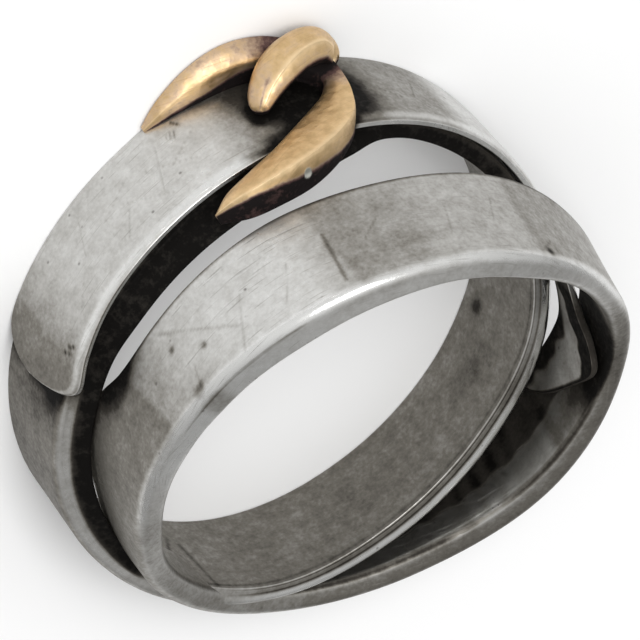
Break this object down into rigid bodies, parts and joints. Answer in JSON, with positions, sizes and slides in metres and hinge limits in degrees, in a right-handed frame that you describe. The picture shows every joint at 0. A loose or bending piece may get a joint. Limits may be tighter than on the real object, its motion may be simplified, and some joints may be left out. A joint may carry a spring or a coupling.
{
  "type": "split band finger ring with crescent ornament",
  "caption": "Worn silver finger ring whose front and rear bands cross at the foot and part at the top, with a silver strap and a gold crescent and loop laid over the rear band.",
  "frame": {"origin": "on the rear band's axis, level with its far edge, which is the face that the ring rests on", "axes": "+Z along the finger hole, from the rear band towards the front band; +X towards the side where the front band passes outside the rear one; +Y towards the gold ornament"},
  "size_m": [0.0209, 0.0221, 0.0112],
  "materials": {
    "silver": "worn, oxidised silver, black in the recesses",
    "gold": "worn pale gold with brown tarnish"
  },
  "bodies": {
    "root": {"bands": "silver", "strap": "silver", "crescent": "gold", "loop": "gold"}
  },
  "joints": []
}
